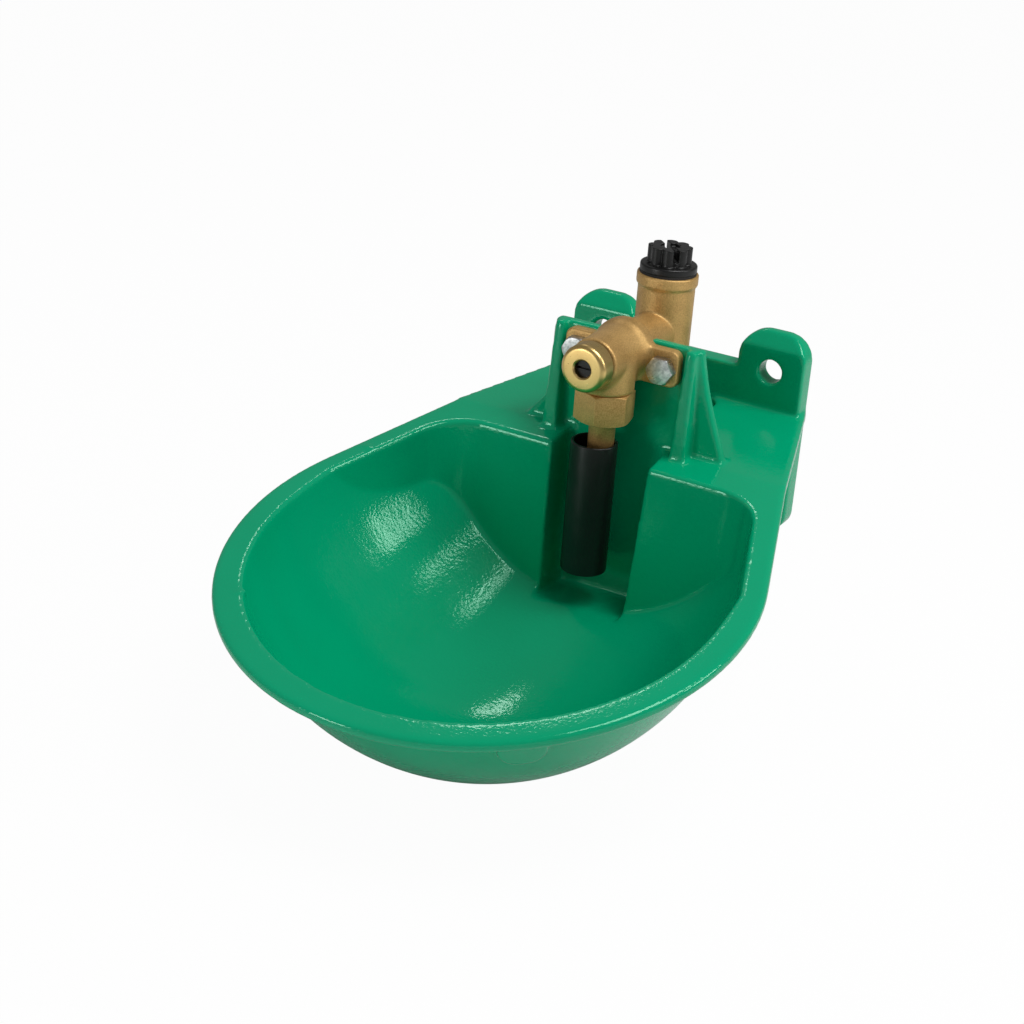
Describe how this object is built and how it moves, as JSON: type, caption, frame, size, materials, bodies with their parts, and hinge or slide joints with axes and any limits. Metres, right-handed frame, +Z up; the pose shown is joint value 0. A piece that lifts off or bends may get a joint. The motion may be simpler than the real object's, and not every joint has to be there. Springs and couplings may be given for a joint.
{
  "type": "livestock drinking bowl",
  "caption": "Cast-iron livestock drinking bowl with a tilting push-tube brass valve, inlet tee and wall-mounting ears.",
  "frame": {"origin": "midway between the two wall-fixing holes, on the wall plane", "axes": "+X to the right seen from the front, +Y into the wall, +Z up"},
  "size_m": [0.2604, 0.3334, 0.2155],
  "materials": {
    "green_enamel": "glossy green enamel over cast iron",
    "cast_brass": "rough cast brass",
    "turned_brass": "machined brass",
    "black_plastic": "matte black plastic",
    "black_rubber": "black rubber",
    "spring_steel": "stainless steel",
    "zinc_steel": "zinc plated steel"
  },
  "bodies": {
    "bowl": {"bowl_basin": "green_enamel", "bowl_rim": "green_enamel", "valve_recess": "green_enamel", "valve_wall": "green_enamel", "wall_plate": "green_enamel", "bowl_webs": "green_enamel", "valve_body": "cast_brass", "nose_cap": "turned_brass", "nose_cap_seal": "black_rubber", "outlet_nut": "turned_brass", "valve_seat": "black_rubber", "outlet_clamp_ring": "turned_brass", "valve_spring": "spring_steel", "inlet_tee": "cast_brass", "strainer": "spring_steel", "plug_seal": "black_rubber", "inlet_plug": "black_plastic", "flange_bolts": "zinc_steel", "flange_washers": "zinc_steel", "flange_nuts": "zinc_steel"},
    "spring_cup": {"spring_cup": "turned_brass"},
    "push_stem": {"valve_stem": "turned_brass", "tube_stop_washer": "spring_steel", "stem_nut": "spring_steel"},
    "push_tube": {"drinking_tube": "black_plastic"},
    "regulator": {"flow_regulator": "black_plastic"}
  },
  "joints": [
    {"name": "tube_push", "type": "hinge", "parent": "bowl", "child": "spring_cup", "pos_m": [0, -0.102, -0.0075], "axis": [1, 0, 0], "range_deg": [-5, 5], "stiffness_Nm_per_rad": 0.8, "deforming": ["valve_spring", "valve_seat"]},
    {"name": "tube_sway", "type": "hinge", "parent": "spring_cup", "child": "push_stem", "pos_m": [0, -0.102, -0.0075], "axis": [0, 1, 0], "range_deg": [-5, 5], "stiffness_Nm_per_rad": 0.8},
    {"name": "tube_rock", "type": "hinge", "parent": "push_stem", "child": "push_tube", "pos_m": [0.00424, -0.09694, -0.081], "axis": [-0.766, 0.6428, 0], "range_deg": [0, 6]},
    {"name": "regulator_turn", "type": "hinge", "parent": "bowl", "child": "regulator", "pos_m": [0, -0.127, 0.0211], "axis": [0, 1, 0], "range_deg": [0, 360]}
  ]
}
